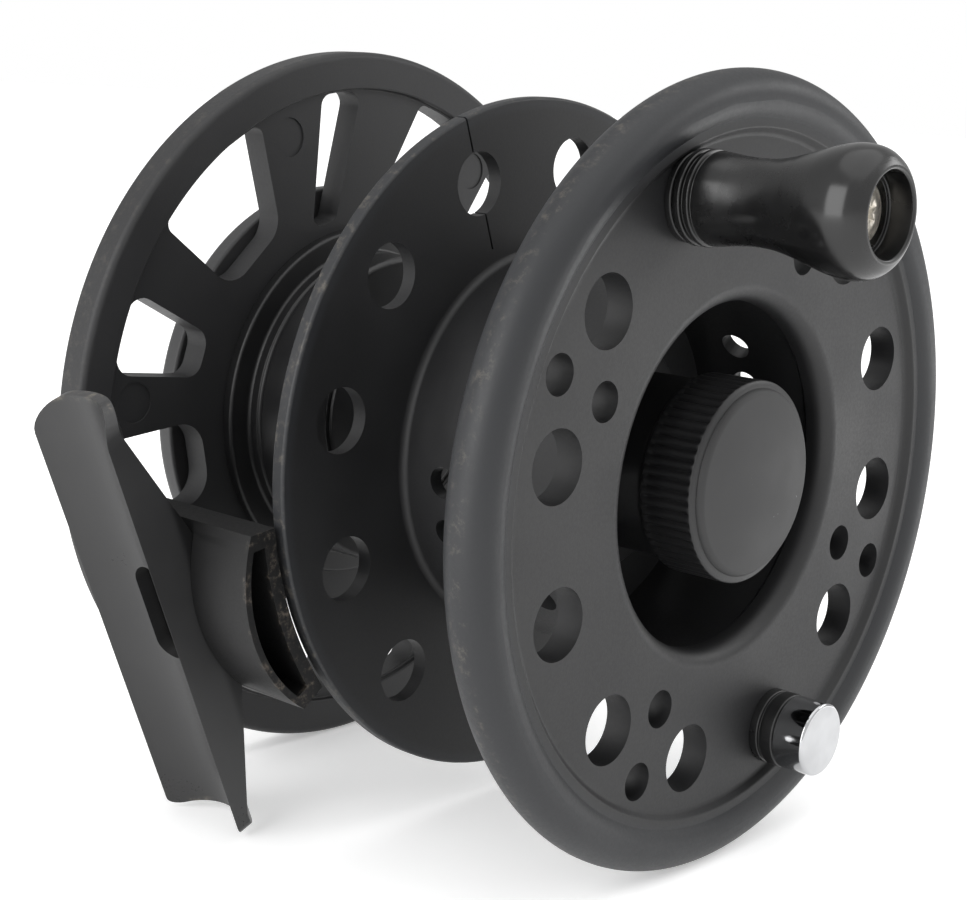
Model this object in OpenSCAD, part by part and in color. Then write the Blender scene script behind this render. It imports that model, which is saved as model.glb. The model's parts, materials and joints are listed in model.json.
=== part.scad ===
// Large-arbor fly reel with a half frame, standing on its rims and the tip of its foot.
// The spool is drawn forward off its spindle along the reel's axis.
// +Y runs back along the reel's axis, +Z is up, and the origin is on the axis at the
// front face of the back plate.

/* [Reel] */
// Outer diameter of the back plate and of the spool's palming rim
reel_d = 100; // [98:0.5:104]
// Distance from the back plate's front face to the spool's front face, spool drawn out
draw_out = 66.6; // [60:0.1:80]
// Angle of the crank handle, anticlockwise from straight up, seen from the front
crank_angle = 21.3; // [0:0.1:360]

/* [Frame] */
// Thickness of the back plate
plate_t = 3.8; // [3.4:0.1:4.4]
// Radial width of the back plate's rim
rim_w = 5.4; // [4.8:0.1:6]
// Reach of the bridge bar in front of the back plate
bar_reach = 33; // [31:0.5:34]
// Half of the angle that the bridge bar spans around the axis
bar_half_angle = 14.6; // [13:0.1:16]

/* [Foot] */
// Length of the foot along the rod
foot_l = 61; // [58:0.5:64]
// Width of the foot across the rod
foot_w = 14.2; // [13.8:0.1:14.4]
// Radius of the trough that lies on the rod's reel seat
seat_r = 8.4; // [8.2:0.05:8.6]

/* [Spool] */
// Width between the spool's two flanges
line_w = 29.3; // [28:0.1:30]
// Thickness of the spool's front flange
front_t = 3.6; // [3.2:0.1:4]
// Thickness of the spool's rear flange
rear_t = 2; // [1.6:0.1:2.4]
// Outer radius of the rear flange
rear_r = 45.2; // [44:0.1:45.3]
// Radius of the opening in the front flange
mouth_r = 22; // [21.8:0.1:22.4]
// Outer radius of the arbor
arbor_r = 24.8; // [24.6:0.1:25.4]
// Radius of the ring of large holes in the front flange
hole_ring_r = 35.5; // [35:0.1:36]
// Number of places around the ring, two of which hold the crank and its counterweight
hole_places = 12; // [12]

/* [Crank] */
// Distance of the crank handle from the reel's axis
crank_r = 37.4; // [37:0.1:38]
// Length of the handle in front of the spool's face
handle_l = 26; // [24:0.5:30]

/* [Lock knob] */
// Radius of the knurled grip
grip_r = 12.2; // [11.8:0.1:12.8]
// Number of flutes around the grip
grip_flutes = 60; // [48:2:72]

/* [Hidden] */
$fn = 96;
eps = 0.01;
fit = 0.05;               // radial clearance of a running fit
reel_r = reel_d / 2;

// frame, measured forward from the back plate's front face
lip_h = 0.9;              // the plate's rim stands proud of its spokes
bar_in_r = 46;            // clears the rear flange
crown_r = 21;             // past the foot the bar's outer face is crowned
crown_y = reel_r + 2.3 - crown_r;
bar_pad = 49;             // height of the flat that carries the foot
foot_edge = 56.4;         // height of the foot's two long edges
foot_z = 15.9;            // middle of the foot
rod_h = foot_edge + sqrt(pow(seat_r, 2) - pow(foot_w / 2, 2));
// the foot is turned until its lower tip stands on the same floor as the two rims
tip_r = norm([foot_edge, foot_l / 2]);
foot_angle = acos(-reel_r / tip_r) - atan(foot_l / 2 / foot_edge);
screw_offsets = [-4.4, 4.4];

// drag housing and what turns in it
house_r = 22;
house_l = 10;
house_wall = 1.6;
spindle_r = 3.5;
spindle_l = 31.5;
hub_r = 5;
nose_r = 6;
hex_r = 5.9;
hex_z = [10.3, 12.6];
stack_z = [0.5, 1.7, 2, 5, 5.05, 6.05];  // pressure plate, lined rotor, reaction ring
roller_r = 5.9;
click_teeth = 24;
click_z = [6.4, 7.6];
pawl_pin_y = 15.4;
knob_r = 30.8;
pin_ring_r = 11.5;
house_screw_r = 23.6;

// spool, measured forward from the front flange's front face
rim_r = 3.3;              // the palming rim's section
rim_c = [reel_r - rim_r, -1.35];
step_r = 42.8;            // the face steps up to the rim
step_h = 0.9;
arbor_back = -front_t - line_w;
web_z = [-24, -21];
boss_r = 6.6;
boss_front = -8;
boss_bore = 5;
port_rows = [-13.2, -26.2];
port_pitch = 16;
knob_base = -19.2;
grip_z = [-4.8, 2.2];      // the knurled band of the lock knob
knob_front = 2.7;

// ---- frames of reference: z runs forward along the axis, y is up ----

module on_frame() {
  rotate([90, 0, 0]) children();
}

module on_spool() {
  on_frame() translate([0, 0, draw_out]) rotate([0, 0, crank_angle]) children();
}

// x along the rod, y outward from the axis
module at_foot() {
  on_frame() rotate([0, 0, foot_angle]) children();
}

module around(count, start = 0) {
  for (i = [0 : count - 1]) rotate([0, 0, start + i * 360 / count]) children();
}

// ---- shared shapes ----

function polar(r, a) = [-r * sin(a), r * cos(a)];

function sweep(r, a, b, n) = [for (i = [0 : n]) polar(r, a + (b - a) * i / n)];

// one corner rounded to radius r, as points along its arc
function corner(p, q, s, r) =
  let(u = (p - q) / norm(p - q), v = (s - q) / norm(s - q))
  let(half = acos(u * v) / 2)
  let(centre = q + (u + v) / norm(u + v) * r / sin(half))
  let(from = q + u * r / tan(half) - centre, to = q + v * r / tan(half) - centre)
  [for (i = [0 : 6]) let(m = from * (1 - i / 6) + to * i / 6) centre + m / norm(m) * r];

// a closed outline whose points are [x, y, corner radius]
function rounded(pts) =
  [for (i = [0 : len(pts) - 1])
     let(n = len(pts), p = pts[(i + n - 1) % n], q = pts[i], s = pts[(i + 1) % n])
     each q[2] == 0 ? [[q[0], q[1]]]
                    : corner([p[0], p[1]], [q[0], q[1]], [s[0], s[1]], q[2])];

module ring(r_out, r_in, z) {
  difference() {
    translate([0, 0, z[0]]) cylinder(r = r_out, h = z[1] - z[0]);
    translate([0, 0, z[0] - 1]) cylinder(r = r_in, h = z[1] - z[0] + 2);
  }
}

module disc(r, z) {
  translate([0, 0, z[0]]) cylinder(r = r, h = z[1] - z[0]);
}

// a round-headed screw, its head's top at z = 0 and its shank down to -l
module screw(head_r, head_h, shank_r, l) {
  difference() {
    disc(head_r, [-head_h, 0]);
    for (a = [0, 90]) rotate([0, 0, a]) {
      cube([head_r * 1.3, head_r * 0.28, head_h], center = true);
    }
  }
  disc(shank_r, [-l, -head_h]);
}

// ---- frame ----

// one lightening window: its sides run from the outer angles to the inner ones
module window(r_in, outer, inner, r_round) {
  outside = sweep(reel_r - rim_w, outer[0], outer[1], 2);
  corners = concat([for (i = [0 : 2]) [each outside[i], i == 1 ? 0 : r_round[0]]],
                   [for (a = [inner[1], inner[0]]) [each polar(r_in, a), r_round[1]]]);
  translate([0, 0, -plate_t - 1]) linear_extrude(plate_t + 2) polygon(rounded(corners));
}

// section of the bridge bar, seen from the front: a crowned block between two radial sides
module bar_section(inner_r, crown, half_angle) {
  far = 2 * reel_r;
  difference() {
    intersection() {
      translate([0, crown_y]) circle(r = crown);
      polygon([[0, 0], polar(far, half_angle), polar(far, -half_angle)]);
    }
    circle(r = inner_r);
  }
}

module bridge_bar() at_foot() {
  bar_start = -0.7 * plate_t;
  pocket_depth = 7;
  half_w = foot_w / 2 + 0.1;
  difference() {
    translate([0, 0, bar_start]) linear_extrude(bar_reach - bar_start) {
      bar_section(bar_in_r, crown_r, bar_half_angle);
    }
    translate([0, 0, bar_reach - pocket_depth]) linear_extrude(pocket_depth + 1) {
      bar_section(bar_in_r + 1.8, crown_r - 0.9, bar_half_angle - 2.4);
    }
    translate([-30, bar_pad, bar_start - 1]) cube([60, 10, foot_z + half_w - bar_start + 1]);
    for (x = screw_offsets) translate([x, bar_pad, foot_z]) rotate([90, 0, 0]) {
      cylinder(r = 1.2, h = 2.8);
    }
  }
}

// the back plate and the bridge bar are one moulding
module frame() color("#26272a") {
  bridge_bar();
  on_frame() difference() {
    rotate_extrude() polygon([[0, -plate_t], [reel_r - 0.6, -plate_t], [reel_r, -plate_t + 0.6],
                              [reel_r, lip_h - 0.6], [reel_r - 0.6, lip_h],
                              [reel_r - rim_w + 0.6, lip_h], [reel_r - rim_w + 0.3, 0], [0, 0]]);
    around(3) {
      window(27, [1.8, 11.6], [11.4, 21.2], [1.8, 1.3]);
      window(29.8, [27, 54.4], [32.2, 54.6], [1.4, 4]);
      window(30.4, [66.6, 81.2], [68.2, 79.4], [2.6, 2.4]);
      window(29.4, [92.4, 105.6], [90.4, 114], [1.4, 4]);
      for (a = [21.5, 85.7]) rotate([0, 0, a]) translate([0, 40.6, -0.2]) {
        cylinder(r = 2.7, h = 1);
      }
      rotate([0, 0, 30]) translate([0, pin_ring_r, -plate_t - 1]) cylinder(r = 1.25, h = 9);
      rotate([0, 0, 90]) translate([0, house_screw_r, -plate_t - 1]) {
        cylinder(r = 0.8, h = 9);
        cylinder(r = 1.5, h = 1.55);
      }
    }
    disc(spindle_r + 0.5, [-plate_t - 1, 1]);
  }
}

// side view of the foot: flat on the bar, then tapered to two thin tips
module foot_profile() {
  half = foot_l / 2;
  root = 11;
  tip = 1.3;
  polygon([[-half, foot_edge], [-half, foot_edge - tip], [-root, bar_pad], [root, bar_pad],
           [half, foot_edge - tip], [half, foot_edge]]);
}

module foot_plan() {
  half = foot_l / 2;
  side = foot_w / 2;
  polygon(rounded([[-half, -side, 1.4], [half, -side, 4], [half, side, 4], [-half, side, 1.4]]));
}

module along_rod(r) {
  translate([-foot_l / 2 - 1, rod_h, foot_z]) rotate([0, 90, 0]) cylinder(r = r, h = foot_l + 2);
}

module reel_foot() color("#303136") at_foot() {
  slot_w = 4.6;
  slot_l = 13.6;
  floor_y = bar_pad + 1;
  difference() {
    intersection() {
      union() {
        translate([0, 0, foot_z - foot_w]) linear_extrude(2 * foot_w) foot_profile();
        along_rod(seat_r + 1.3);
      }
      translate([0, bar_pad, foot_z]) rotate([-90, 0, 0]) {
        linear_extrude(foot_edge - bar_pad) foot_plan();
      }
    }
    along_rod(seat_r);
    translate([0, floor_y, foot_z]) rotate([-90, 0, 0]) linear_extrude(9) {
      square([slot_l - slot_w, slot_w], center = true);
      for (s = [-1, 1]) translate([s * (slot_l - slot_w) / 2, 0]) circle(d = slot_w);
    }
    for (x = screw_offsets) translate([x, floor_y + 1, foot_z]) rotate([90, 0, 0]) {
      cylinder(r = 1.2, h = 4);
    }
  }
}

module foot_screws() color("#8d8f94") at_foot() {
  for (x = screw_offsets) translate([x, bar_pad + 1.7, foot_z]) rotate([-90, 0, 0]) {
    screw(2.05, 0.7, 1.15, 4.3);
  }
}

module spindle() color("#b4b6ba") on_frame() {
  clip_z = 12.7;
  rotate_extrude() polygon([[0, -9], [3, -9], [3, -plate_t], [spindle_r + 0.5, -plate_t],
                            [spindle_r + 0.5, 0], [spindle_r, 0], [spindle_r, clip_z],
                            [spindle_r - 0.4, clip_z], [spindle_r - 0.4, clip_z + 0.6],
                            [spindle_r, clip_z + 0.6], [spindle_r, spindle_l - 3],
                            [3, spindle_l - 2.5], [3, spindle_l - 0.4], [2.6, spindle_l],
                            [0, spindle_l]]);
}

// ---- drag: fixed pieces ----

module drag_housing() color("#1d1e20") on_frame() difference() {
  rotate_extrude() difference() {
    polygon([[nose_r + 0.3, 0], [25.3, 0], [25.3, 1.2], [24.9, 1.6], [house_r, 1.6],
             [house_r, house_l - 0.8], [house_r - 0.8, house_l], [nose_r + 0.3, house_l]]);
    translate([0, -1]) square([house_r - house_wall, house_l - 0.4]);
    translate([0, 8.5]) square([7.8, 1.1]);
  }
  around(3, 90) translate([0, house_screw_r, -1]) cylinder(r = 0.8, h = 2);
}

module housing_screws() color("#8d8f94") on_frame() {
  around(3, 90) translate([0, house_screw_r, -plate_t]) mirror([0, 0, 1]) {
    screw(1.4, 0.5, 0.75, 4.6);
  }
}

module seal_ring() color("#101010") on_frame() ring(7.7, nose_r + fit, [8.7, 9.5]);

module reaction_ring() color("#9a9ca0") on_frame() difference() {
  ring(house_r - house_wall, 9.5, [stack_z[4], stack_z[5]]);
  translate([0, pawl_pin_y, 0]) cylinder(r = 0.9, h = 9);
}

module hub_clip() color("#7d7f84") on_frame() difference() {
  ring(4.9, spindle_r - 0.4, [12.7, 13.3]);
  translate([-0.9, 0, 12]) cube([1.8, 8, 2]);
}

module pawl_pin() color("#c4c6ca") on_frame() {
  translate([0, pawl_pin_y, 0]) disc(0.9, [stack_z[4], 8.6]);
}

module pawl_spring() color("#a0a2a6") on_frame() {
  post = [6.6, 15.2];
  translate([post[0], post[1], 0]) disc(0.8, [stack_z[5], 8.4]);
  translate([3.3, 17.7, click_z[0]]) rotate([0, 0, -33]) cube([4.6, 0.25, 1.2]);
}

module knob_cap() color("#2c2d31") on_frame() difference() {
  rotate_extrude() polygon([[0, -10], [4.4, -10], [5.4, -9.2], [5.4, -8.4], [0, -8.4]]);
  disc(3, [-9, -8]);
}

// ---- drag: the pieces that slide with the pressure plate ----

module pressure_plate() color("#9a9ca0") on_frame() {
  ring(house_r - house_wall - 0.4, 6, [stack_z[0], stack_z[1]]);
}

module thrust_pins() color("#c4c6ca") on_frame() {
  around(3, 30) translate([0, pin_ring_r, 0]) disc(1.2, [-plate_t - 0.6, stack_z[0]]);
}

module thrust_ring() color("#9a9ca0") on_frame() ring(14, 9, [-5.2, -plate_t - 0.6]);

// ---- drag knob ----

module drag_knob() color("#242528") on_frame() difference() {
  rotate_extrude() polygon([[3 + fit, -8.3], [knob_r - 3, -8.3], [knob_r - 0.7, -7.6],
                            [knob_r, -6.8], [knob_r, -4.8], [knob_r - 0.4, -4.4],
                            [16, -4.4], [16, -7], [3 + fit, -7]]);
  around(12) translate([0, 25.4, -9]) cylinder(r = 2.6, h = 1.7);
}

module drag_spring() color("#a0a2a6") on_frame() {
  rotate_extrude() polygon([[9.2, -5.75], [9.2, -5.25], [13.8, -6.4], [13.8, -6.95], [13.1, -6.95]]);
}

// ---- click pawl: a nose that rides the click wheel, and a tail for its spring ----

module click_pawl() color("#c8a24a") on_frame() {
  nose = 9.95;
  translate([0, 0, click_z[0]]) linear_extrude(click_z[1] - click_z[0]) difference() {
    union() {
      translate([0, pawl_pin_y]) circle(r = 2.1);
      polygon([[-1.6, pawl_pin_y - 1.2], [-0.3, nose], [0.3, nose], [1.6, pawl_pin_y - 1.2]]);
      translate([-0.6, pawl_pin_y]) square([1.2, 3.4]);
    }
    translate([0, pawl_pin_y]) circle(r = 0.9 + fit);
  }
}

// ---- drag: the pieces that turn ----

module drag_rotor() color("#b0b2b6") on_frame() ring(19.2, 7.5, [2.9, 4.1]);

module friction_liners() color("#3a352c") on_frame() {
  ring(19, 9, [stack_z[2], 2.9]);
  ring(19, 9, [4.1, stack_z[3]]);
}

// the one-way clutch's shell is pressed into the rotor, and its rollers bear on the hub
module clutch_shell() color("#8f9196") on_frame() difference() {
  ring(7.5, hub_r + fit, [stack_z[2] + 0.1, stack_z[3] - 0.1]);
  around(8) translate([0, roller_r, 2.4]) cylinder(r = 1, h = 2.2);
}

module clutch_rollers() color("#c4c6ca") on_frame() {
  around(8) translate([0, roller_r, 2.5]) cylinder(r = 0.8, h = 2);
}

module clutch_hub() color("#a9abb0") on_frame() {
  difference() {
    union() {
      disc(hub_r, [0.6, 6.2]);
      disc(nose_r, [6.2, hex_z[0]]);
      translate([0, 0, hex_z[0]]) cylinder(r = hex_r, h = hex_z[1] - hex_z[0], $fn = 6);
    }
    disc(spindle_r + fit, [-1, 20]);
  }
}

module click_wheel() color("#b8903c") on_frame() {
  tooth = 0.9;
  root_r = 8.9;
  translate([0, 0, click_z[0]]) linear_extrude(click_z[1] - click_z[0]) difference() {
    polygon([for (i = [0 : 2 * click_teeth - 1])
               polar(root_r + (i % 2) * tooth, i * 180 / click_teeth)]);
    circle(r = nose_r);
  }
}

// ---- spool ----

// both flanges, the palming rim and the arbor are one piece
module spool() color("#2a2b2f") on_spool() difference() {
  back = arbor_back - rear_t;
  inner_r = mouth_r + 0.8;
  join = asin((step_h - rim_c[1]) / rim_r);
  turn = 180 - join;
  union() {
    rotate_extrude() polygon(rounded(concat(
      [[inner_r, -front_t, 0], [mouth_r, -front_t + 0.8, 0], [mouth_r, 0, 2.2],
       [step_r, 0, 0], [step_r, step_h, 0]],
      [for (i = [0 : 28]) let(a = turn - i * 2 * turn / 28)
         [each rim_c + rim_r * [cos(a), sin(a)], 0]],
      [[arbor_r, -front_t, 1], [arbor_r, arbor_back, 1], [rear_r, arbor_back, 0.5],
       [rear_r, back, 0.3], [inner_r, back, 0]])));
    ring(inner_r + 0.5, boss_r - 0.5, web_z);
    disc(boss_r, [web_z[0], boss_front]);
  }
  disc(boss_bore, [web_z[0] - 1, boss_front + 1]);
  ring(boss_r + 1, boss_r - 0.5, [knob_base, knob_base + 1]);
  around(6, 30) translate([0, 14.8, 0]) disc(4, [web_z[0] - 1, web_z[1] + 1]);
  // the arbor's ports are in two groups, on both sides of the line from crank to counterweight
  for (side = [90, 270], i = [-1 : 1], z = port_rows) rotate([0, 0, side + i * port_pitch]) {
    translate([0, inner_r - 0.2, z]) rotate([-90, 0, 0]) cylinder(r = 2, h = 6);
  }
  for (i = [1 : hole_places - 1]) if (i != hole_places / 2) {
    rotate([0, 0, i * 360 / hole_places]) translate([0, hole_ring_r, 0]) {
      disc(4.35, [-front_t - 1, 1]);
      translate([0, 0, -0.3]) cylinder(r1 = 4.35, r2 = 4.75, h = 0.4);
    }
  }
  around(4, 45) for (r = [29.8, 39]) translate([0, r, 0]) disc(2.4, [-front_t - 1, 1]);
  around(2) translate([0, crank_r, 0]) disc(1.6, [-front_t - 1, 1]);
  around(hole_places) translate([0, 36.4, 0]) disc(4.1, [back - 1, arbor_back + 1]);
  translate([-0.25, 27.4, back - 1]) cube([0.5, 30, 10]);
}

module hub_bushings() color("#b48a3c") on_spool() {
  for (z = [web_z[0], boss_front - 4]) ring(boss_bore, spindle_r + fit, [z, z + 4]);
}

module drive_ring() color("#8f9196") on_spool() difference() {
  disc(9.5, [-27.5, web_z[0]]);
  translate([0, 0, -28]) rotate([0, 0, -crank_angle]) cylinder(r = hex_r + 0.12, h = 3.7, $fn = 6);
  disc(boss_bore, [-25, -23]);
}

// ---- crank handle ----

module handle_post() color("#a9abb0") on_spool() translate([0, crank_r, 0]) difference() {
  union() {
    disc(1.55, [-front_t, 0]);
    disc(3, [0, handle_l - 4.1]);
  }
  disc(1.2, [handle_l - 12, handle_l]);
}

module handle_washer() color("#0d0d0e") on_spool() translate([0, crank_r, 0]) {
  ring(5.35, 3, [0, 0.9]);
}

module handle_screw() color("#c9cbd0") on_spool() translate([0, crank_r, handle_l - 2.8]) {
  screw(3.4, 1.3, 1.15, 7);
}

module handle_knob() color("#0c0c0d") on_spool() translate([0, crank_r, 0]) {
  rotate_extrude() polygon(rounded([[4.2, 1.1, 0], [5.6, 1.1, 0.2], [5.6, 2, 0.2], [5.25, 2.2, 0],
                                    [5.6, 2.4, 0.2], [5.6, 3.2, 0.2], [5.2, 3.4, 0],
                                    [5.4, 3.8, 0], [4.8, 9.6, 14], [7.3, handle_l - 7.4, 10],
                                    [7.6, handle_l - 2.6, 2.6], [5.4, handle_l, 0.7],
                                    [4.75, handle_l, 0], [4.75, handle_l - 3, 0],
                                    [4.2, handle_l - 3, 0]]));
}

module handle_bushing() color("#b48a3c") on_spool() translate([0, crank_r, 0]) {
  ring(4.2, 3 + fit, [1.1, handle_l - 4.2]);
}

// ---- counterweight, opposite the handle ----

module counterweight_base() color("#141415") on_spool() translate([0, -crank_r, 0]) {
  rotate_extrude() polygon([[1.6, 0], [4.9, 0], [4.9, 1], [4.6, 1.2], [4.9, 1.4], [4.9, 3.4],
                            [1.6, 3.4]]);
}

module counterweight_cap() color("#d8dade") on_spool() translate([0, -crank_r, 0]) {
  difference() {
    rotate_extrude() polygon([[0, 3.4], [4.7, 3.4], [4.85, 3.6], [4.85, 7.6], [4.5, 8], [0, 8]]);
    disc(1.6, [3, 6.6]);
  }
}

module counterweight_screw() color("#8d8f94") on_spool() translate([0, -crank_r, 0]) {
  translate([0, 0, -front_t - 1]) mirror([0, 0, 1]) screw(3, 1, 1.55, 11);
}

// ---- spool lock knob, in the mouth of the arbor ----

module lock_knob() color("#232427") on_spool() {
  difference() {
    union() {
      disc(15.8, [knob_base - 1.5, knob_base]);
      disc(grip_r - 0.7, [knob_base, knob_front]);
      translate([0, 0, grip_z[0]]) linear_extrude(grip_z[1] - grip_z[0]) {
        polygon([for (i = [0 : 2 * grip_flutes - 1])
                   polar(grip_r + (i % 2) * 0.5, i * 180 / grip_flutes)]);
      }
    }
    disc(7.2, [-30, -7.5]);
    disc(3 + fit, [-8, -4.5]);
    disc(8.7, [knob_base, -17.6]);
  }
}

module lock_knob_pad() color("#3b3c40") on_spool() {
  pad_r = grip_r - 0.4;
  rotate_extrude() polygon(concat([[0, knob_front], [pad_r, knob_front]],
    [for (i = [0 : 6]) let(r = pad_r * (1 - i / 6)) [r, 4.5 - r * r / 114]]));
}

// the clip sits in the boss's groove and holds the knob on the spool
module lock_clip() color("#7d7f84") on_spool() difference() {
  ring(8.3, boss_r - 0.5, [knob_base + 0.1, knob_base + 0.9]);
  translate([-1.2, 0, -20]) cube([2.4, 10, 3]);
}

frame();
reel_foot();
foot_screws();
spindle();
drag_housing();
housing_screws();
seal_ring();
reaction_ring();
hub_clip();
pawl_pin();
pawl_spring();
knob_cap();
pressure_plate();
thrust_pins();
thrust_ring();
drag_knob();
drag_spring();
click_pawl();
drag_rotor();
friction_liners();
clutch_shell();
clutch_rollers();
clutch_hub();
click_wheel();
spool();
hub_bushings();
drive_ring();
handle_post();
handle_washer();
handle_screw();
counterweight_base();
counterweight_cap();
counterweight_screw();
handle_knob();
handle_bushing();
lock_knob();
lock_knob_pad();
lock_clip();
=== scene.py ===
"""Fly reel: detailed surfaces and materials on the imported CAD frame."""
import json
import math

import bmesh
import bpy
from mathutils import Matrix, Vector

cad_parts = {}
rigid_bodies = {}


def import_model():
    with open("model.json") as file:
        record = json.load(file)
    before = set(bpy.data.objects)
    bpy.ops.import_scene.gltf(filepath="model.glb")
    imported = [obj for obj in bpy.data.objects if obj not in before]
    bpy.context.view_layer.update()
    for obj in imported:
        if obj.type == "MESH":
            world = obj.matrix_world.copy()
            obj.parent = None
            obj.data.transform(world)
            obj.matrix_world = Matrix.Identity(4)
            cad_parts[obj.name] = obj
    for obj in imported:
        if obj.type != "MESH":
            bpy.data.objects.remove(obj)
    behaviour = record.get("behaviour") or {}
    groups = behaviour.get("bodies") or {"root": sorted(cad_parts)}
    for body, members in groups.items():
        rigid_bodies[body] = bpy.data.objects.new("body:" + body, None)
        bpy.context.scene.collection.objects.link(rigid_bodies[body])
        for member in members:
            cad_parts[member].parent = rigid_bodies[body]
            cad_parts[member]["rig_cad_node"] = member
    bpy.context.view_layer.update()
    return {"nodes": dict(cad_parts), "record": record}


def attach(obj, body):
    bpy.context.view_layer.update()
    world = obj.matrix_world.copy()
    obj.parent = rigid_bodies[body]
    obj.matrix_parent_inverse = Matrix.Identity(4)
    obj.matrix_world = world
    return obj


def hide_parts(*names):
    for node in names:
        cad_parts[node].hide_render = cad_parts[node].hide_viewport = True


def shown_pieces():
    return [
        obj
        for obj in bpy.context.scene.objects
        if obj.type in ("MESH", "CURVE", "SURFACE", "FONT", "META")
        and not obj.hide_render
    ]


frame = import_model()
nodes = frame["nodes"]
scene = bpy.context.scene
MM = 0.001

# ---------------------------------------------------------------- dimensions, millimetres
# z runs forward along the reel's axis from the back plate's front face, y is up.
DRAW_OUT = 66.6
CRANK = math.radians(21.3)
CRANK_R = 37.4
REEL_R = 50.0
PLATE_T = 3.8
FOOT_L = 61.0
FOOT_W = 14.2
FOOT_EDGE = 56.4
FOOT_Z = 15.9
SEAT_R = 8.4
BAR_PAD = 49.0
LIP_H = 0.9
HANDLE_L = 26.0
KNURL_R = 12.7
PORT_R, PORT_ROWS, PORT_TURNS = 2.0, (-13.2, -26.2), (74, 90, 106, 254, 270, 286)
ROD_H = FOOT_EDGE + math.sqrt(SEAT_R ** 2 - (FOOT_W / 2) ** 2)
FOOT_TURN = (math.acos(-REEL_R / math.hypot(FOOT_EDGE, FOOT_L / 2))
             - math.atan(FOOT_L / 2 / FOOT_EDGE))

ON_FRAME = Matrix(((MM, 0, 0, 0), (0, 0, -MM, 0), (0, MM, 0, 0), (0, 0, 0, 1)))
ON_SPOOL = ON_FRAME @ Matrix.Translation((0, 0, DRAW_OUT)) @ Matrix.Rotation(CRANK, 4, "Z")
AT_HANDLE = ON_SPOOL @ Matrix.Translation((0, CRANK_R, 0))
AT_WEIGHT = ON_SPOOL @ Matrix.Translation((0, -CRANK_R, 0))
AT_FOOT = ON_FRAME @ Matrix.Rotation(FOOT_TURN, 4, "Z")


# ---------------------------------------------------------------- mesh code
def arc(cx, cy, r, start, stop, n):
    return [(cx + r * math.cos(math.radians(start + (stop - start) * i / n)),
             cy + r * math.sin(math.radians(start + (stop - start) * i / n))) for i in range(n + 1)]


def rounded(points, n=6):
    """A closed outline from points (x, y, corner radius)."""
    out = []
    for i, (x, y, r) in enumerate(points):
        if r == 0:
            out.append((x, y))
            continue
        q = Vector((x, y))
        u = (Vector(points[i - 1][:2]) - q).normalized()
        v = (Vector(points[(i + 1) % len(points)][:2]) - q).normalized()
        half = u.angle(v) / 2
        centre = q + (u + v).normalized() * r / math.sin(half)
        a = q + u * r / math.tan(half) - centre
        b = q + v * r / math.tan(half) - centre
        out += [tuple(centre + a.slerp(b, k / n).normalized() * r) for k in range(n + 1)]
    return out


def smooth(points, n):
    """A curve through the points, n steps between each pair."""
    out = []
    ends = [points[0]] + points + [points[-1]]
    for a, b, c, d in zip(ends, ends[1:], ends[2:], ends[3:]):
        for k in range(n):
            t = k / n
            out.append(tuple(
                0.5 * (2 * b[i] + (c[i] - a[i]) * t
                       + (2 * a[i] - 5 * b[i] + 4 * c[i] - d[i]) * t * t
                       + (3 * b[i] - a[i] - 3 * c[i] + d[i]) * t ** 3) for i in (0, 1)))
    return out + [points[-1]]


def polar(r, degrees):
    a = math.radians(degrees)
    return (-r * math.sin(a), r * math.cos(a))


def new_object(name, bm):
    bmesh.ops.recalc_face_normals(bm, faces=bm.faces)
    mesh = bpy.data.meshes.new(name)
    bm.to_mesh(mesh)
    bm.free()
    obj = bpy.data.objects.new(name, mesh)
    scene.collection.objects.link(obj)
    return obj


def lathe(name, profile, place, segments=192, wobble=None):
    """A closed (r, z) outline turned about z; wobble(angle, r, z) gives a new radius."""
    bm = bmesh.new()
    rings = []
    for r, z in profile:
        if r < 1e-6:
            rings.append([bm.verts.new((0, 0, z))] * segments)
            continue
        ring = []
        for i in range(segments):
            a = 2 * math.pi * i / segments
            radius = wobble(a, r, z) if wobble else r
            ring.append(bm.verts.new((-radius * math.sin(a), radius * math.cos(a), z)))
        rings.append(ring)
    for k in range(len(rings)):
        p, q = rings[k], rings[(k + 1) % len(rings)]
        for i in range(segments):
            j = (i + 1) % segments
            face = []
            for v in (p[i], p[j], q[j], q[i]):
                if v not in face:
                    face.append(v)
            if len(face) > 2:
                bm.faces.new(face)
    bm.transform(place)
    return new_object(name, bm)


def prism(name, outline, z0, z1, place):
    bm = bmesh.new()
    low = [bm.verts.new((x, y, z0)) for x, y in outline]
    high = [bm.verts.new((x, y, z1)) for x, y in outline]
    bm.faces.new(low)
    bm.faces.new(high)
    for i in range(len(low)):
        j = (i + 1) % len(low)
        bm.faces.new((low[i], low[j], high[j], high[i]))
    bm.transform(place)
    return new_object(name, bm)


def rod(name, r, z0, z1, place, segments=64, r1=None):
    r1 = r if r1 is None else r1
    return lathe(name, [(0, z0), (r, z0), (r1, z1), (0, z1)], place, segments)


def spin(degrees):
    return Matrix.Rotation(math.radians(degrees), 4, "Z")


def shift(x, y, z):
    return Matrix.Translation((x, y, z))


def bake(obj):
    """The object's mesh with its modifiers applied."""
    graph = bpy.context.evaluated_depsgraph_get()
    mesh = bpy.data.meshes.new_from_object(obj.evaluated_get(graph))
    obj.modifiers.clear()
    old = obj.data
    obj.data = mesh
    bpy.data.meshes.remove(old)
    return obj


def combine(obj, tools, how):
    """Adds, cuts or intersects the tool objects, which must not overlap one another."""
    joined = bmesh.new()
    for tool in tools:
        joined.from_mesh(tool.data)
    other = new_object("tool", joined)
    for tool in tools:
        bpy.data.objects.remove(tool)
    step = obj.modifiers.new("bool", "BOOLEAN")
    step.operation = how
    step.solver = "EXACT"
    step.object = other
    bake(obj)
    bpy.data.objects.remove(other)
    return obj


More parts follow.
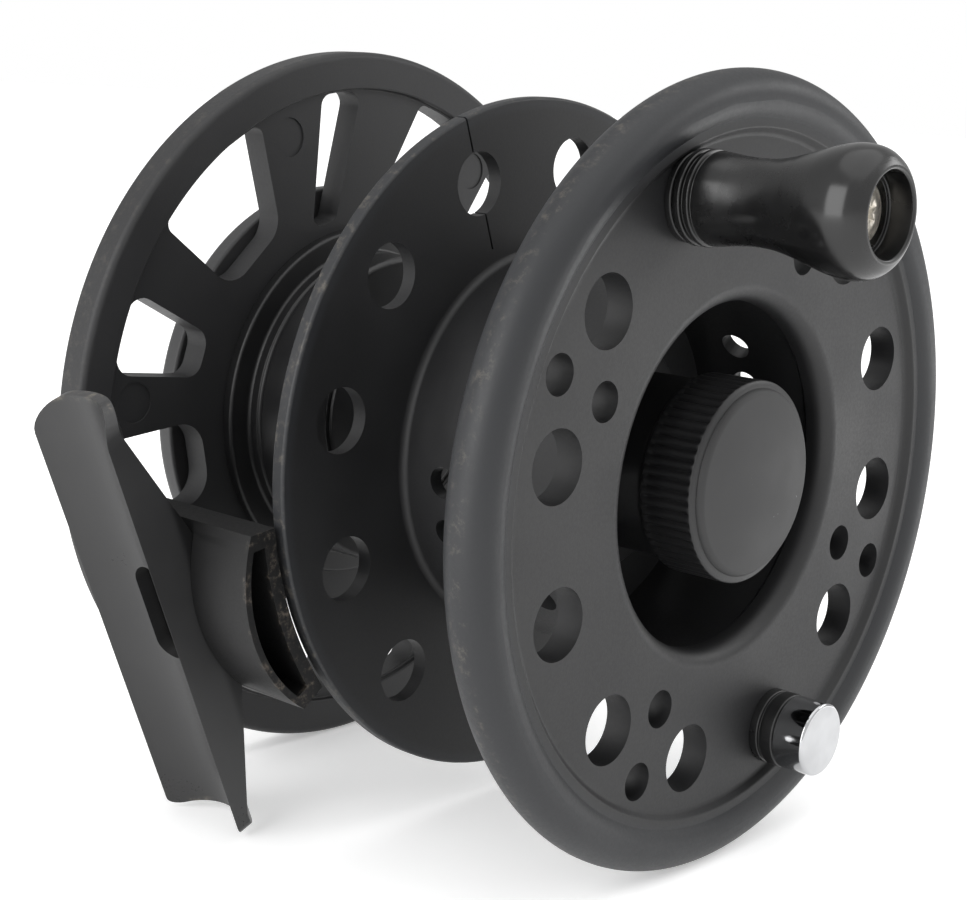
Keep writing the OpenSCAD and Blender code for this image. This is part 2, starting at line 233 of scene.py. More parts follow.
def soften(obj, width, angle=34, segments=2):
    """Rounds the sharp edges, then shades by face area."""
    bm = bmesh.new()
    bm.from_mesh(obj.data)
    bmesh.ops.remove_doubles(bm, verts=bm.verts, dist=2e-6)
    bmesh.ops.dissolve_limit(bm, angle_limit=math.radians(0.6), verts=bm.verts, edges=bm.edges)
    bm.to_mesh(obj.data)
    bm.free()
    if width:
        step = obj.modifiers.new("bevel", "BEVEL")
        step.width = width * MM
        step.segments = segments
        step.limit_method = "ANGLE"
        step.angle_limit = math.radians(angle)
        step.use_clamp_overlap = True
        bake(obj)
    obj.data.shade_smooth()
    step = obj.modifiers.new("normals", "WEIGHTED_NORMAL")
    step.weight = 80
    return obj


def finish_piece(obj, body, slot, material, *stands_for):
    obj.data.materials.clear()
    obj.data.materials.append(material)
    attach(obj, body)
    if stands_for:
        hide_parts(*stands_for)
    return obj


# ---------------------------------------------------------------- materials
class Shader:
    def __init__(self, name, color, roughness, **constants):
        self.material = bpy.data.materials.new(name)
        self.material.use_nodes = True
        self.tree = self.material.node_tree
        self.bsdf = self.tree.nodes["Principled BSDF"]
        self.color = color
        self.roughness = roughness
        for socket, value in constants.items():
            self.bsdf.inputs[socket.replace("_", " ")].default_value = value
        self.coords = self.node("ShaderNodeTexCoord").outputs["Object"]
        self.height = None

    def node(self, kind, **settings):
        made = self.tree.nodes.new(kind)
        for key, value in settings.items():
            setattr(made, key, value)
        return made

    def link(self, source, target):
        if hasattr(source, "is_output"):
            self.tree.links.new(source, target)
        else:
            target.default_value = source

    def math(self, operation, a, b=0.0):
        made = self.node("ShaderNodeMath", operation=operation)
        self.link(a, made.inputs[0])
        self.link(b, made.inputs[1])
        return made.outputs[0]

    def noise(self, scale, detail=3.0, rough=0.55, stretch=None):
        made = self.node("ShaderNodeTexNoise")
        coords = self.coords
        if stretch:
            squeeze = self.node("ShaderNodeMapping")
            self.link(coords, squeeze.inputs["Vector"])
            squeeze.inputs["Scale"].default_value = stretch
            coords = squeeze.outputs[0]
        self.link(coords, made.inputs["Vector"])
        made.inputs["Scale"].default_value = scale
        made.inputs["Detail"].default_value = detail
        made.inputs["Roughness"].default_value = rough
        return made.outputs["Fac"]

    def ramp(self, value, low, high, out_low=0.0, out_high=1.0):
        made = self.node("ShaderNodeMapRange")
        made.interpolation_type = "SMOOTHSTEP"
        self.link(value, made.inputs["Value"])
        for key, number in (("From Min", low), ("From Max", high),
                            ("To Min", out_low), ("To Max", out_high)):
            made.inputs[key].default_value = number
        return made.outputs["Result"]

    def blend(self, factor, a, b):
        made = self.node("ShaderNodeMix", data_type="RGBA")
        self.link(factor, made.inputs["Factor"])
        for value, socket in ((a, made.inputs["A"]), (b, made.inputs["B"])):
            self.link(value if hasattr(value, "is_output") else (*value, 1.0), socket)
        return made.outputs["Result"]

    def split(self):
        """The X, Y and Z outputs of the object coordinates."""
        parts = self.node("ShaderNodeSeparateXYZ")
        self.link(self.coords, parts.inputs[0])
        return parts.outputs

    def along(self, direction):
        """How far from the origin in a direction, in metres."""
        made = self.node("ShaderNodeVectorMath", operation="DOT_PRODUCT")
        self.link(self.coords, made.inputs[0])
        made.inputs[1].default_value = direction
        return made.outputs["Value"]

    def forward(self):
        """How far in front of the back plate, in metres."""
        return self.math("MULTIPLY", self.split()["Y"], -1.0)

    def radius(self, centre=(0.0, 0.0)):
        """Distance in metres from a line along Y through centre (x, z)."""
        parts = self.split()
        x = self.math("SUBTRACT", parts["X"], centre[0])
        z = self.math("SUBTRACT", parts["Z"], centre[1])
        squares = self.math("ADD", self.math("MULTIPLY", x, x), self.math("MULTIPLY", z, z))
        return self.math("SQRT", squares)

    def bump(self, height, strength, distance_mm):
        made = self.node("ShaderNodeBump")
        self.link(height, made.inputs["Height"])
        made.inputs["Strength"].default_value = strength
        made.inputs["Distance"].default_value = distance_mm * MM
        if self.height:
            self.link(self.height, made.inputs["Normal"])
        self.height = made.outputs["Normal"]

    def done(self):
        self.link(self.color if hasattr(self.color, "is_output") else (*self.color, 1.0),
                  self.bsdf.inputs["Base Color"])
        self.link(self.roughness, self.bsdf.inputs["Roughness"])
        if self.height:
            self.link(self.height, self.bsdf.inputs["Normal"])
        return self.material


def worn(s, where, amount, tint=(0.085, 0.076, 0.064)):
    """Broken lighter scuffs where the mask is high."""
    patches = s.ramp(s.noise(650.0, 6.0, 0.78), 0.5, 0.7)
    s.color = s.blend(s.math("MULTIPLY", s.math("MULTIPLY", where, patches), amount), s.color, tint)


def moulded(name, color, light, rough, grain=0.35, **constants):
    """Fine-textured black composite: grain, soft blotches and a few fine scuffs."""
    s = Shader(name, color, rough, **constants)
    blotch = s.noise(55.0, 4.0)
    s.color = s.blend(s.ramp(blotch, 0.3, 0.75), color, light)
    scuffs = s.ramp(s.noise(330.0, 6.0, 0.8, (1.0, 0.3, 1.0)), 0.68, 0.78, 0.0, 0.1)
    s.color = s.blend(scuffs, s.color, tuple(c * 2.2 for c in light))
    s.roughness = s.math("ADD", s.ramp(blotch, 0.3, 0.75, rough - 0.04, rough + 0.05),
                         s.ramp(s.noise(2400.0, 2.0), 0.3, 0.7, -0.03, 0.03))
    s.bump(s.noise(4200.0, 2.0, 0.6), grain, 0.03)
    s.bump(s.noise(900.0, 3.0, 0.6), grain * 0.3, 0.03)
    return s


def metal(name, color, rough, turned=None, grime=0.0):
    """Machined metal; turned is the (x, z) of its lathe axis, for ring marks."""
    s = Shader(name, color, rough, Metallic=1.0)
    cloud = s.noise(140.0, 3.0)
    s.color = s.blend(s.ramp(cloud, 0.3, 0.75), color, tuple(c * 0.82 for c in color))
    if grime:
        dirt = s.ramp(s.noise(700.0, 5.0, 0.7), 0.45, 0.62, 0.0, grime)
        s.color = s.blend(dirt, s.color, (0.06, 0.045, 0.03))
    s.roughness = s.ramp(cloud, 0.3, 0.75, rough * 0.85, rough * 1.2)
    if turned:
        rings = s.node("ShaderNodeTexNoise", noise_dimensions="1D")
        s.link(s.radius(turned), rings.inputs["W"])
        rings.inputs["Scale"].default_value = 9000.0
        s.bump(rings.outputs["Fac"], 0.12, 0.01)
    s.bump(s.noise(3000.0, 3.0, 0.6), 0.05, 0.01)
    return s.done()


handle_xz = tuple(v * MM for v in (-CRANK_R * math.sin(CRANK), CRANK_R * math.cos(CRANK)))

frame_shader = moulded("frame_composite", (0.017, 0.017, 0.0178), (0.0215, 0.0215, 0.0225),
                       0.5, 0.4, Specular_IOR_Level=0.38)
# painted shade: the bar reaching forward of the plate is coloured far darker than the plate,
# standing in for the shadow the foot casts on it
on_bar = frame_shader.ramp(frame_shader.forward(), 0.0012, 0.003)
frame_shader.color = frame_shader.blend(on_bar, frame_shader.color, (0.0035, 0.0035, 0.0037))
on_rim = frame_shader.ramp(frame_shader.radius(), 0.0494, 0.0502)
off_bar = frame_shader.math("SUBTRACT", 1.0, on_bar)
worn(frame_shader, frame_shader.math("MULTIPLY", on_rim, off_bar), 0.4)
bar_end = frame_shader.ramp(frame_shader.forward(), 0.0323, 0.0329)
worn(frame_shader, bar_end, 0.9, (0.12, 0.1, 0.08))
frame_black = frame_shader.done()

spool_shader = moulded("spool_composite", (0.0078, 0.0078, 0.0083), (0.0118, 0.0119, 0.0127),
                       0.5, 0.3, Specular_IOR_Level=0.42)
# painted reflection: the rim band is tinted lighter and bluish, standing in for the sheen the rim
# catches from the light around it
painted_rim_sheen = spool_shader.ramp(spool_shader.radius(), 0.0432, 0.0445)
spool_shader.color = spool_shader.blend(spool_shader.math("MULTIPLY", painted_rim_sheen, 0.8),
                                        spool_shader.color, (0.0162, 0.0172, 0.0193))
worn(spool_shader, spool_shader.ramp(spool_shader.radius(), 0.0496, 0.05), 0.6)
rear_edge = spool_shader.math("MULTIPLY", spool_shader.ramp(spool_shader.forward(), 0.036, 0.035),
                              spool_shader.ramp(spool_shader.radius(), 0.0447, 0.0452))
worn(spool_shader, rear_edge, 0.8)
spool_black = spool_shader.done()

foot_shader = moulded("foot_anodised", (0.0205, 0.0205, 0.021), (0.026, 0.026, 0.0265), 0.33, 0.12)
foot_length = foot_shader.along((math.cos(FOOT_TURN), 0.0, math.sin(FOOT_TURN)))
tips = foot_shader.ramp(foot_shader.math("ABSOLUTE", foot_length), 0.0296, 0.0304)
worn(foot_shader, tips, 0.9, (0.14, 0.125, 0.1))
foot_height = foot_shader.along((-math.sin(FOOT_TURN), 0.0, math.cos(FOOT_TURN)))
# painted shade: the foot is coloured near black below about 51 mm from the reel's axis, standing in
# for shade on its lower flanks beside the bar and in the floor of its slot
foot_shader.color = foot_shader.blend(foot_shader.ramp(foot_height, 0.0502, 0.0515),
                                      (0.005, 0.005, 0.0052), foot_shader.color)
foot_black = foot_shader.done()

drag_black = moulded("drag_composite", (0.006, 0.006, 0.0065), (0.009, 0.009, 0.0095),
                     0.42, 0.2).done()
dial_black = moulded("dial_composite", (0.03, 0.03, 0.031), (0.038, 0.038, 0.039), 0.5, 0.2).done()
grip_black = moulded("grip_composite", (0.0065, 0.0065, 0.007), (0.0095, 0.0095, 0.01),
                     0.42, 0.15).done()
# painted shade: the foot screws are coloured near black, standing in for the shade deep in the
# foot's slot
screw_dark = metal("foot_screw_painted_shade", (0.05, 0.048, 0.045), 0.35, None, 0.3)


def soft_pad():
    s = Shader("soft_pad", (0.02, 0.02, 0.0205), 0.62, Specular_IOR_Level=0.55)
    cloud = s.noise(90.0, 4.0)
    s.color = s.blend(s.ramp(cloud, 0.35, 0.7), (0.0145, 0.0145, 0.015), (0.0215, 0.0215, 0.022))
    dust = s.ramp(s.noise(1500.0, 2.0, 0.5), 0.76, 0.8, 0.0, 0.6)
    s.color = s.blend(dust, s.color, (0.25, 0.25, 0.25))
    s.roughness = s.ramp(cloud, 0.3, 0.7, 0.56, 0.68)
    s.bump(s.noise(6500.0, 2.0, 0.5), 0.35, 0.015)
    return s.done()


def polished(name, color, rough=0.09):
    s = Shader(name, color, rough)
    smear = s.noise(110.0, 5.0, 0.65)
    s.color = s.blend(s.ramp(smear, 0.3, 0.75), color, tuple(c * 1.4 for c in color))
    s.roughness = s.math("ADD", s.ramp(smear, 0.3, 0.75, rough * 0.8, rough * 1.6),
                         s.ramp(s.noise(1800.0, 4.0, 0.8), 0.66, 0.8, 0.0, 0.15))
    s.bump(s.noise(500.0, 2.0, 0.5), 0.03, 0.02)
    return s.done()


pad_material = soft_pad()
handle_black = polished("handle_polished", (0.0045, 0.0045, 0.0046), 0.23)
trim_black = polished("trim_semigloss", (0.006, 0.006, 0.0062), 0.3)
chrome = metal("chrome_cap", (0.54, 0.545, 0.555), 0.08, tuple(-v for v in handle_xz))
screw_metal = metal("screw_plated", (0.8, 0.75, 0.66), 0.42, handle_xz, 0.5)
steel = metal("machined_steel", (0.52, 0.52, 0.54), 0.3, (0.0, 0.0))
aluminium = metal("turned_aluminium", (0.66, 0.67, 0.69), 0.34, (0.0, 0.0))
brass = metal("turned_brass", (0.72, 0.5, 0.2), 0.3, (0.0, 0.0))


def plain(name, color, rough, scale, depth):
    s = Shader(name, color, rough)
    cloud = s.noise(scale * 0.2, 4.0)
    s.color = s.blend(s.ramp(cloud, 0.3, 0.7), color, tuple(c * 0.75 for c in color))
    s.roughness = s.ramp(cloud, 0.3, 0.7, rough * 0.9, min(1.0, rough * 1.15))
    s.bump(s.noise(scale, 3.0), 0.4, depth)
    return s.done()


slot_materials = {
    "frame_moulding": frame_black, "spool_moulding": spool_black, "foot_black": foot_black,
    "drag_black": drag_black, "grip_black": grip_black, "pad_soft": pad_material,
    "handle_gloss": handle_black, "trim_black": trim_black, "chrome": chrome, "steel": steel,
    "screw_steel": screw_metal, "aluminium": aluminium, "brass": brass,
    "acetal": plain("acetal", (0.72, 0.71, 0.66), 0.4, 900.0, 0.02),
    "liner": plain("friction_lining", (0.14, 0.12, 0.09), 0.85, 1600.0, 0.05),
    "rubber": plain("seal_rubber", (0.018, 0.018, 0.018), 0.6, 1200.0, 0.02),
}
for part in frame["record"]["subparts"]:
    carried = nodes[part["node"]]
    carried.data.materials.clear()
    carried.data.materials.append(slot_materials[part["material_slot"]])

# ---------------------------------------------------------------- spool
RIM_R = 3.3
RIM_C = (REEL_R - RIM_R, -1.35)
STEP_R, STEP_H = 42.8, 0.9
MOUTH_R, INNER_R, ARBOR_R = 22.0, 22.8, 24.8
FRONT_T, ARBOR_BACK, BACK = 3.6, -32.9, -34.9


def spool_piece():
    join = math.degrees(math.asin((STEP_H - RIM_C[1]) / RIM_R))
    rim = [(*p, 0) for p in arc(*RIM_C, RIM_R, 180 - join, join - 180, 56)]
    profile = rounded([(INNER_R, BACK, 0.35), (INNER_R, -FRONT_T - 0.5, 0),
                       (MOUTH_R, -FRONT_T + 0.3, 0), (MOUTH_R, 0, 2.3),
                       (STEP_R - 0.5, 0, 0.9), (STEP_R + 0.3, STEP_H, 0.4)] + rim
                      + [(ARBOR_R, -FRONT_T, 1.0), (ARBOR_R, ARBOR_BACK, 1.0),
                         (45.2, ARBOR_BACK, 0.45), (45.2, BACK, 0.4)], 8)
    body = lathe("spool_shell", profile, ON_SPOOL, 288)
    web = lathe("web", [(6.1, -24), (INNER_R + 0.5, -24), (INNER_R + 0.5, -21), (6.6, -21),
                        (6.6, -8.4), (6.2, -8), (5.0, -8), (5.0, -24)], ON_SPOOL, 96)
    combine(body, [web], "UNION")
    tools = []
    for i in range(12):
        at = ON_SPOOL @ spin(30 * i)
        tools.append(rod("t", 4.1, BACK - 1, ARBOR_BACK + 1, at @ shift(0, 36.4, 0), 72))
        if i % 6:
            tools.append(rod("t", 4.35, -FRONT_T - 1, 1, at @ shift(0, 35.5, 0), 96))
    for i in range(4):
        at = ON_SPOOL @ spin(45 + 90 * i)
        tools += [rod("t", 2.4, -FRONT_T - 1, 1, at @ shift(0, r, 0), 64) for r in (29.8, 39.0)]
    for row in PORT_ROWS:
        for turn in PORT_TURNS:
            at = ON_SPOOL @ spin(turn) @ shift(0, 0, row) @ Matrix.Rotation(-math.pi / 2, 4, "X")
            tools.append(rod("t", PORT_R, INNER_R - 0.2, 28, at, 40))
    for i in range(6):
        tools.append(rod("t", 4.0, -25, -20, ON_SPOOL @ spin(30 + 60 * i) @ shift(0, 14.8, 0), 48))
    combine(body, tools, "DIFFERENCE")
    slits = []
    for r0, r1 in ((27.4, 33.0), (39.8, 47.0)):
        outline = [(-0.15, r0), (0.15, r0), (0.15, r1), (-0.15, r1)]
        slits.append(prism("t", outline, BACK - 1, ARBOR_BACK + 0.5, ON_SPOOL))
    combine(body, slits, "DIFFERENCE")
    soften(body, 0.3, 38, 3)
    return finish_piece(body, "spool_unit", "spool_moulding", spool_black, "spool")


# ---------------------------------------------------------------- frame
def window(r_in, outer, inner, r_round, turn):
    """A cutter between two angles at its outer arc and two at its inner edge."""
    far = REEL_R - 5.4
    step = outer[1] - outer[0]
    points = [(*polar(far, outer[0] + step * k / 6), r_round[0] if k in (0, 6) else 0)
              for k in (0, 2, 3, 4, 6)]
    points += [(*polar(r_in, a), r_round[1]) for a in (inner[1], inner[0])]
    return prism("t", rounded(points, 8), -PLATE_T - 1, 1, ON_FRAME @ spin(turn))


def bar_outline(inner_r, crown, half, n=24):
    """The bar's section: an inner arc about the axis and a crowned outer face."""
    centre = REEL_R + 2.3 - 21
    hit = math.radians(half)
    reach = centre * math.cos(hit) + math.sqrt(crown ** 2 - (centre * math.sin(hit)) ** 2)
    edge = math.degrees(math.atan2(reach * math.sin(hit), reach * math.cos(hit) - centre))
    angles = [math.radians(edge * (1 - 2 * k / n)) for k in range(n + 1)]
    outer = [(crown * math.sin(a), centre + crown * math.cos(a)) for a in angles]
    inner = [polar(inner_r, half - 2 * half * k / n) for k in range(n + 1)]
    return outer + inner


def frame_piece():
    section = rounded([(4.0, -PLATE_T, 0), (REEL_R, -PLATE_T, 0.8), (REEL_R, LIP_H, 1.0),
                       (44.9, LIP_H, 0.35), (44.9, 0, 0.25), (4.0, 0, 0)], 7)
    plate = lathe("frame_shell", section, ON_FRAME, 288)
    bar = prism("bar", bar_outline(46, 21, 14.6), -0.7 * PLATE_T, 33, AT_FOOT)
    side = FOOT_W / 2 + 0.1
    seat = [(-30, BAR_PAD), (30, BAR_PAD), (30, 60), (-30, 60)]
    combine(bar, [prism("t", seat, -PLATE_T, FOOT_Z + side, AT_FOOT)], "DIFFERENCE")
    combine(plate, [bar], "UNION")
    tools = []
    for turn in (0, 120, 240):
        tools.append(window(27, (1.8, 11.6), (11.4, 21.2), (1.8, 1.3), turn))
        tools.append(window(29.8, (27, 54.4), (32.2, 54.6), (1.4, 4), turn))
        tools.append(window(30.4, (66.6, 81.2), (68.2, 79.4), (2.6, 2.4), turn))
        tools.append(window(29.4, (92.4, 105.6), (90.4, 114), (1.4, 4), turn))
        for a in (21.5, 85.7):
            at = ON_FRAME @ spin(turn + a) @ shift(0, 40.6, 0)
            tools.append(rod("t", 2.7, -0.2, 1, at, 48))
        at = ON_FRAME @ spin(turn + 90) @ shift(0, 23.6, 0)
        tools.append(rod("t", 1.5, -PLATE_T - 1, -PLATE_T + 0.55, at, 32))
        at = ON_FRAME @ spin(turn + 30) @ shift(0, 11.5, 0)
        tools.append(rod("t", 1.25, -PLATE_T - 1, 1, at, 32))
    tools.append(prism("t", bar_outline(47.8, 20.1, 12.2), 26, 34, AT_FOOT))
    combine(plate, tools, "DIFFERENCE")
    soften(plate, 0.4, 38, 3)
    return finish_piece(plate, "reel_frame", "frame_moulding", frame_black, "frame")


# ---------------------------------------------------------------- foot
def foot_piece():
    half, side = FOOT_L / 2, FOOT_W / 2
    plan = rounded([(-half, -side, 1.4), (half, -side, 4), (half, side, 4), (-half, side, 1.4)], 10)
    up = AT_FOOT @ shift(0, BAR_PAD, FOOT_Z) @ Matrix.Rotation(-math.pi / 2, 4, "X")
    foot = prism("foot_shell", plan, 0, FOOT_EDGE - BAR_PAD, up)
    wedge = [(-half - 1, FOOT_EDGE + 1), (-half - 1, FOOT_EDGE - 1.05),
             (-11, BAR_PAD - 0.01), (11, BAR_PAD - 0.01),
             (half + 1, FOOT_EDGE - 1.05), (half + 1, FOOT_EDGE + 1)]
    keep = prism("keep", wedge, FOOT_Z - 9, FOOT_Z + 9, AT_FOOT)
    along = AT_FOOT @ shift(0, ROD_H, FOOT_Z) @ Matrix.Rotation(math.pi / 2, 4, "Y")
    skin = rod("skin", SEAT_R + 1.3, -half - 1, half + 1, along, 160)
    combine(keep, [skin], "UNION")
    combine(foot, [keep], "INTERSECT")
    slot_end = (13.6 - 4.6) / 2
    outline = arc(slot_end, 0, 2.3, -90, 90, 16) + arc(-slot_end, 0, 2.3, 90, 270, 16)
    trough = rod("t", SEAT_R, -half - 2, half + 2, along, 160)
    combine(foot, [trough], "DIFFERENCE")
    combine(foot, [prism("t", outline, 1, 9, up)], "DIFFERENCE")
    soften(foot, 0.35, 30, 3)
    return finish_piece(foot, "reel_frame", "foot_black", foot_black, "reel_foot")


def cross_head(name, r, height, place, socket=0.55):
    """A domed screw head with a tapered cross recess; z = 0 is its top."""
    dome = [(0, 0)] + [(r * math.sin(a), -0.28 * height * (1 - math.cos(a)) * 2.2)
                       for a in (math.radians(12 * k) for k in range(1, 6))]
    last = dome[-1][1]
    side = rounded([(r * 0.95, last, 0), (r, last - 0.12, 0), (r, -height, 0), (0, -height, 0)])
    head = lathe(name, dome + side, place, 64)
    blades = []
    corners = ((-1, -1), (1, -1), (1, 1), (-1, 1))
    for turn in (20, 110):
        w, d = r * socket, height * 0.62
        bm = bmesh.new()
        top, low = ([bm.verts.new((x * dx, y * dy, z)) for x, y in corners]
                    for dx, dy, z in ((w, r * 0.13, 0.2), (w * 0.55, r * 0.1, -d)))
        bm.faces.new(top)
        bm.faces.new(low)
        for i in range(4):
            bm.faces.new((top[i], top[(i + 1) % 4], low[(i + 1) % 4], low[i]))
        bm.transform(place @ spin(turn))
        blades.append(new_object("t", bm))
    for blade in blades:
        combine(head, [blade], "DIFFERENCE")
    return soften(head, 0.05, 30, 1)


def foot_screw_pieces():
    for k, x in enumerate((-4.4, 4.4)):
        place = AT_FOOT @ shift(x, BAR_PAD + 1.7, FOOT_Z) @ Matrix.Rotation(-math.pi / 2, 4, "X")
        head = cross_head(f"foot_screw_{k + 1}", 2.05, 0.7, place)
        stands_for = ["foot_screws"] if k == 0 else []
        finish_piece(head, "reel_frame", "screw_steel", screw_dark, *stands_for)


# ---------------------------------------------------------------- drag housing and knob
def drag_pieces():
    section = rounded([(6.3, 0, 0), (25.3, 0, 0.2), (25.3, 1.6, 0.5), (22, 1.6, 0.5),
                       (22, 3.2, 0.2), (21.7, 3.4, 0), (21.7, 4.0, 0), (22, 4.2, 0.2),
                       (22, 10, 0.9), (15.4, 10, 0.2), (15.2, 9.6, 0.1), (14.4, 9.6, 0.1),
                       (14.2, 10, 0.2), (6.3, 10, 0.3)])
    housing = lathe("housing_shell", section, ON_FRAME, 192)
    soften(housing, 0)
    finish_piece(housing, "reel_frame", "drag_black", drag_black, "drag_housing")
    section = rounded([(3.06, -7, 0), (3.06, -8.3, 0.2), (13.5, -8.3, 0.6), (14.2, -7.8, 0.6),
                       (22.2, -7.8, 0.6), (22.9, -8.3, 0.6), (29.2, -8.3, 1.0), (30.8, -7, 1.4),
                       (30.8, -4.4, 0.5), (16, -4.4, 0), (16, -7, 0)])
    knob = lathe("drag_dial", section, ON_FRAME, 240)
    dimples = []
    for i in range(12):
        at = ON_FRAME @ spin(30 * i) @ shift(0, 25.4, 0)
        dimples.append(rod("t", 2.6, -9, -7.3, at, 48, 2.2))
    combine(knob, dimples, "DIFFERENCE")
    soften(knob, 0.2, 40, 2)
    finish_piece(knob, "drag_adjuster", "drag_black", dial_black, "drag_knob")
    section = rounded([(0, -8.4, 0), (0, -10, 0), (4.4, -10, 0.7), (5.4, -9.3, 0.6),
                       (5.4, -8.4, 0)])
    cap = lathe("dial_cap", section, ON_FRAME, 96)
    soften(cap, 0)
    finish_piece(cap, "reel_frame", "drag_black", drag_black, "knob_cap")


# ---------------------------------------------------------------- lock knob
def lock_knob_pieces():
    flutes, base, low, high = 60, -19.2, -4.8, 2.2

    def knurl(angle, r, z):
        if r < KNURL_R - 0.4 or z < low - 0.01 or z > high + 0.01:
            return r
        front_fade = min(1.0, max(0.0, (high - z) / 0.4)) ** 0.6
        back_fade = min(1.0, max(0.0, (z - low) / 0.5)) ** 0.6
        depth = 0.55 * front_fade * back_fade
        return r - depth * (1 - abs(math.cos(angle * flutes / 2)) ** 0.9)

    band = [(KNURL_R, low + (high - low) * k / 16) for k in range(17)]
    profile = ([(7.2, -20.7), (15.5, -20.7), (15.8, -20.5), (15.8, -19.5), (15.5, base),
                (11.7, base), (11.5, -19.0), (11.5, -6.3), (11.7, -5.8), (12.2, -5.2),
                (12.5, low - 0.15)] + band
               + [(12.62, high + 0.14), (12.45, high + 0.26), (12.15, high + 0.34),
                  (11.9, high + 0.42), (11.75, 2.7), (0, 2.7), (0, -4.5), (3.05, -4.5),
                  (3.05, -7.5), (7.2, -7.5)])
    grip = lathe("lock_grip", profile, ON_SPOOL, flutes * 10, knurl)
    soften(grip, 0)
    finish_piece(grip, "locking_knob", "grip_black", grip_black, "lock_knob")
    dome = [(0, 4.5)] + [(10.9 * k / 14, 4.5 - (10.9 * k / 14) ** 2 / 114) for k in range(1, 14)]
    edge = arc(10.8, 2.48, 1.0, 79, 0, 8) + [(11.8, 2.72), (0, 2.72)]
    pad = lathe("lock_pad", dome + edge, ON_SPOOL, 160)
    soften(pad, 0)
    finish_piece(pad, "locking_knob", "pad_soft", pad_material, "lock_knob_pad")


# ---------------------------------------------------------------- crank handle
def handle_pieces():
    outline = rounded([(4.2, 1.1, 0), (5.4, 1.1, 0.3), (5.6, 1.5, 0.25), (5.6, 2.1, 0.25),
                       (5.15, 2.25, 0.12), (5.15, 2.55, 0.12), (5.6, 2.7, 0.2), (5.6, 3.3, 0.2),
                       (5.2, 3.45, 0.12), (5.2, 3.75, 0.12), (5.45, 3.9, 0)], 6)
    outline += smooth([(5.45, 3.9), (5.3, 5.2), (5.05, 7.4), (4.95, 9.6), (5.1, 12.0),
                       (5.6, 14.4), (6.3, 16.8), (7.0, 19.2), (7.38, 21.2), (7.42, 22.6),
                       (7.1, 24.1), (6.4, 25.2), (5.75, 25.75)], 6)
    outline += rounded([(5.75, 25.75, 0), (5.3, HANDLE_L, 0.3), (4.8, HANDLE_L, 0.3),
                        (4.75, HANDLE_L - 3, 0.2), (4.2, HANDLE_L - 3, 0.1),
                        (4.2, HANDLE_L - 4, 0)], 6)[1:]
    knob = lathe("crank_knob", outline, AT_HANDLE, 160)
    soften(knob, 0)
    finish_piece(knob, "crank_handle", "handle_gloss", handle_black, "handle_knob")
    section = rounded([(3, 0, 0), (5.35, 0, 0.1), (5.35, 0.9, 0.3), (3, 0.9, 0)])
    washer = lathe("crank_washer", section, AT_HANDLE, 96)
    soften(washer, 0)
    finish_piece(washer, "spool_unit", "trim_black", trim_black, "handle_washer")
    screw = cross_head("crank_screw", 3.4, 1.5, AT_HANDLE @ shift(0, 0, HANDLE_L - 2.7))
    finish_piece(screw, "spool_unit", "screw_steel", screw_metal, "handle_screw")


def counterweight_pieces():
    section = rounded([(1.6, 0, 0), (4.9, 0, 0.1), (4.9, 1.1, 0.2), (4.55, 1.2, 0.1),
                       (4.55, 1.5, 0.1), (4.9, 1.6, 0.2), (4.9, 3.4, 0.25), (1.6, 3.4, 0)])
    base = lathe("weight_base", section, AT_WEIGHT, 128)
    soften(base, 0)
    finish_piece(base, "spool_unit", "trim_black", trim_black, "counterweight_base")
    section = rounded([(0, 3.4, 0), (4.65, 3.4, 0.1), (4.85, 3.6, 0.1), (4.85, 8, 0.45),
                       (0, 8, 0)], 8)
    cap = lathe("weight_cap", section, AT_WEIGHT, 160)
    soften(cap, 0)
    finish_piece(cap, "spool_unit", "chrome", chrome, "counterweight_cap")


spool_piece()
frame_piece()
foot_piece()
foot_screw_pieces()
drag_pieces()
lock_knob_pieces()
handle_pieces()
counterweight_pieces()
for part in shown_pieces():
    if "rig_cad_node" in part:
        part.data.shade_smooth()
        part.modifiers.new("normals", "EDGE_SPLIT").split_angle = math.radians(32)

# ---------------------------------------------------------------- floor, light, camera
bm = bmesh.new()
bmesh.ops.create_grid(bm, x_segments=2, y_segments=2, size=12.0)
floor = new_object("floor", bm)
floor.location.z = -(REEL_R + 0.1) * MM
pale, paler = (0.93, 0.93, 0.93), (0.945, 0.945, 0.945)
floor_shader = Shader("studio_floor", pale, 0.7, Emission_Color=(1.0, 1.0, 1.0, 1.0),
                      Emission_Strength=0.32)
floor_shader.color = floor_shader.blend(floor_shader.noise(6.0, 2.0), pale, paler)
floor.data.materials.append(floor_shader.done())

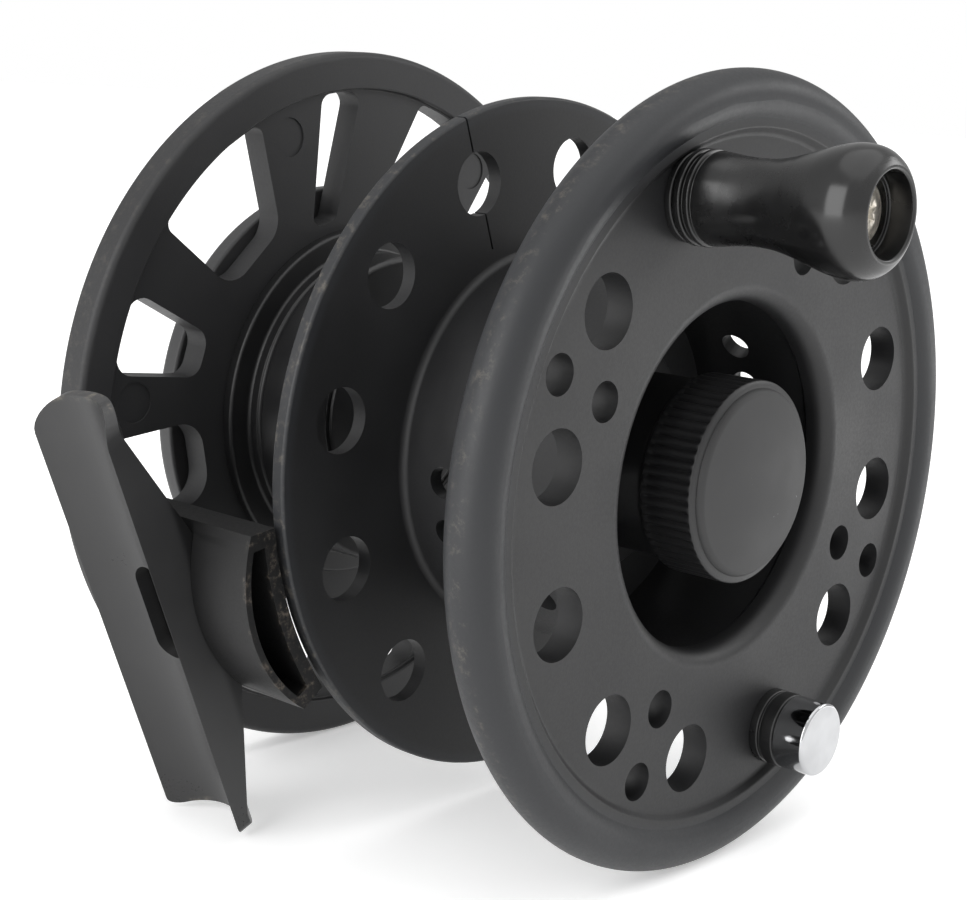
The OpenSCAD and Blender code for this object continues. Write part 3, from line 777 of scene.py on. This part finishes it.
# even white light, weaker from the right and behind; the camera itself sees plain white
world = bpy.data.worlds.new("studio")
scene.world = world
world.use_nodes = True
tree = world.node_tree
around = tree.nodes.new("ShaderNodeTexCoord").outputs["Generated"]
facing = tree.nodes.new("ShaderNodeVectorMath")
facing.operation = "DOT_PRODUCT"
tree.links.new(around, facing.inputs[0])
facing.inputs[1].default_value = (0.755, 0.656, 0.0)
glow = tree.nodes.new("ShaderNodeMapRange")
glow.interpolation_type = "SMOOTHSTEP"
tree.links.new(facing.outputs["Value"], glow.inputs["Value"])
for key, number in (("From Min", -0.1), ("From Max", 0.6), ("To Min", 0.95), ("To Max", 0.58)):
    glow.inputs[key].default_value = number
seen = tree.nodes.new("ShaderNodeLightPath").outputs["Is Camera Ray"]
either = tree.nodes.new("ShaderNodeMath")
either.operation = "MAXIMUM"
tree.links.new(seen, either.inputs[0])
tree.links.new(glow.outputs["Result"], either.inputs[1])
tree.links.new(either.outputs[0], tree.nodes["Background"].inputs["Strength"])
tree.nodes["Background"].inputs["Color"].default_value = (1.0, 1.0, 1.0, 1.0)


def softbox(name, position, target, size, power):
    lamp = bpy.data.lights.new(name, "AREA")
    lamp.shape = "RECTANGLE"
    lamp.size, lamp.size_y = size
    lamp.energy = power
    obj = bpy.data.objects.new(name, lamp)
    scene.collection.objects.link(obj)
    obj.location = position
    obj.rotation_euler = (Vector(target) - Vector(position)).to_track_quat("-Z", "Y").to_euler()


softbox("left_box", (-0.74, 0.02, 0.24), (0, -0.03, 0), (0.6, 0.7), 4.6)
softbox("right_box", (0.75, -0.45, 0.42), (0, -0.06, 0.02), (0.5, 0.25), 1.3)
softbox("floor_glow", (0.28, -0.24, -0.048), (0.28, -0.24, 1.0), (0.22, 0.22), 0.3)
above = bpy.data.lights.new("overhead", "SUN")
above.energy = 0.9
above.angle = 1.3
overhead = bpy.data.objects.new("overhead", above)
scene.collection.objects.link(overhead)
overhead.rotation_euler = (0.15, 0.1, 0.0)

camera_data = bpy.data.cameras.new("camera")
camera_data.sensor_width = 36.0
camera_data.lens = 70.04
camera_data.clip_start = 0.01
camera_data.clip_end = 20.0
camera = bpy.data.objects.new("camera", camera_data)
scene.collection.objects.link(camera)
right = Vector((0.66037, -0.74882, 0.05643))
up = Vector((0.10169, 0.16363, 0.98127))
ahead = up.cross(right).normalized()
right = ahead.cross(up).normalized()
camera.matrix_world = Matrix.Translation((-0.19355, -0.19257, 0.04474)) @ Matrix(
    (right, up, -ahead)).transposed().to_4x4()
scene.camera = camera
scene.view_settings.view_transform = "Standard"
